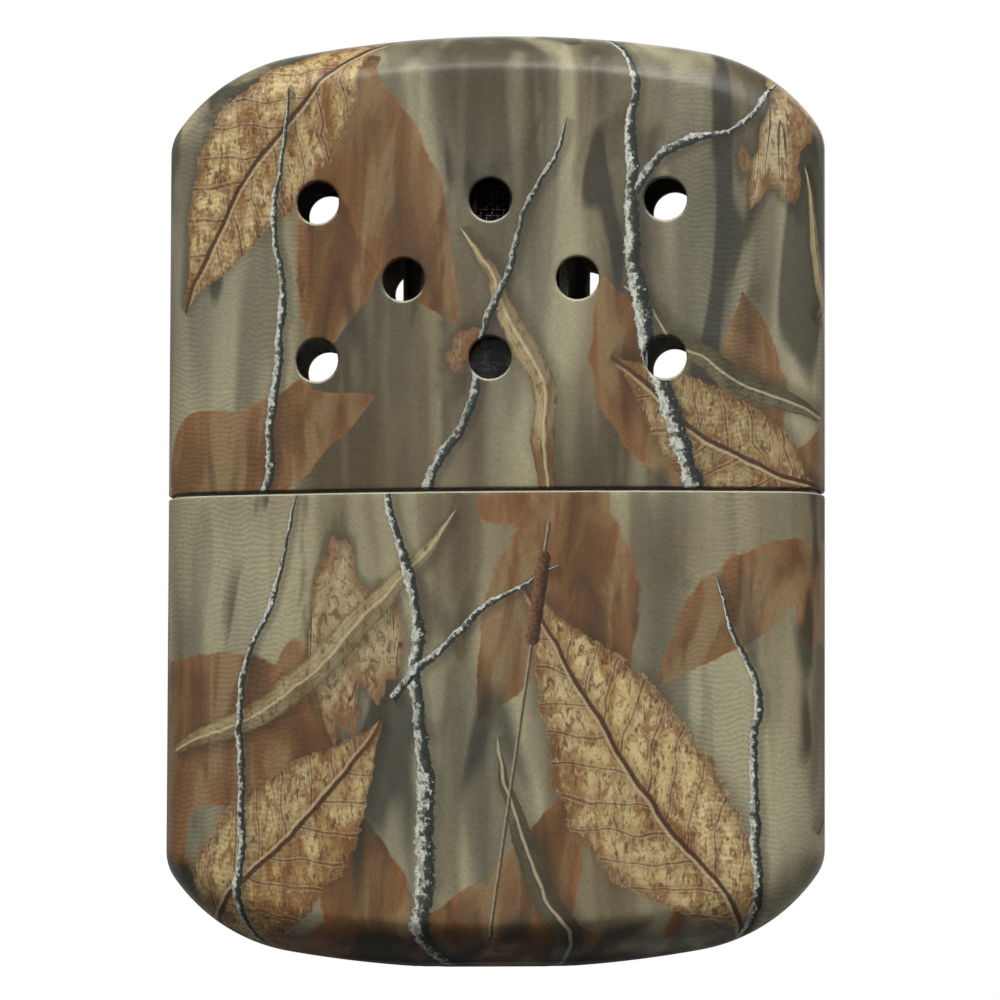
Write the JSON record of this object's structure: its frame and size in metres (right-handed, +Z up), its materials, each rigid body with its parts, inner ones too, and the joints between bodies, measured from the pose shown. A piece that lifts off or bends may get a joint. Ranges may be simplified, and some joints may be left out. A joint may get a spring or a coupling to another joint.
{
  "type": "catalytic hand warmer",
  "caption": "Flat pillow-shaped refillable catalytic hand warmer: vented pull-off lid over a drawn fuel tank, with a lift-off burner on an oblong filler neck.",
  "frame": {"origin": "middle of the flat foot that the tank stands on, at the bottom of the case", "axes": "+Z up through the tank and lid, +X along the wide side, front face towards -Y"},
  "size_m": [0.068, 0.0134, 0.0964],
  "materials": {
    "lid_coating": "satin olive-brown disruptive print",
    "tank_coating": "satin olive-brown disruptive print",
    "insert_steel": "satin",
    "neck_steel": "satin",
    "screen_steel": "matte",
    "burner_plating": "bright plated, heat-tinted",
    "gauze": "dark gauze",
    "glass_wool": "grey catalyst-coated glass wool",
    "felt": "pressed felt",
    "cotton": "loose cotton wadding"
  },
  "bodies": {
    "tank": {"tank_shell": "tank_coating", "tank_insert": "insert_steel", "filler_neck": "neck_steel", "neck_screen": "screen_steel", "wick_pad": "felt", "cotton_wad_left": "cotton", "cotton_wad_middle": "cotton", "cotton_wad_right": "cotton"},
    "lid": {"lid_shell": "lid_coating"},
    "burner": {"burner_skirt": "burner_plating", "burner_hood": "burner_plating", "burner_floor": "screen_steel", "gauze_sleeve": "gauze", "retainer_bars": "gauze", "catalyst_pad": "glass_wool"}
  },
  "joints": [
    {"name": "lid_slide", "type": "slide", "parent": "tank", "child": "lid", "axis": [0, 0, 1], "range_m": [0, 0.05]},
    {"name": "burner_slide", "type": "slide", "parent": "tank", "child": "burner", "axis": [0, 0, 1], "range_m": [0, 0.01]}
  ]
}
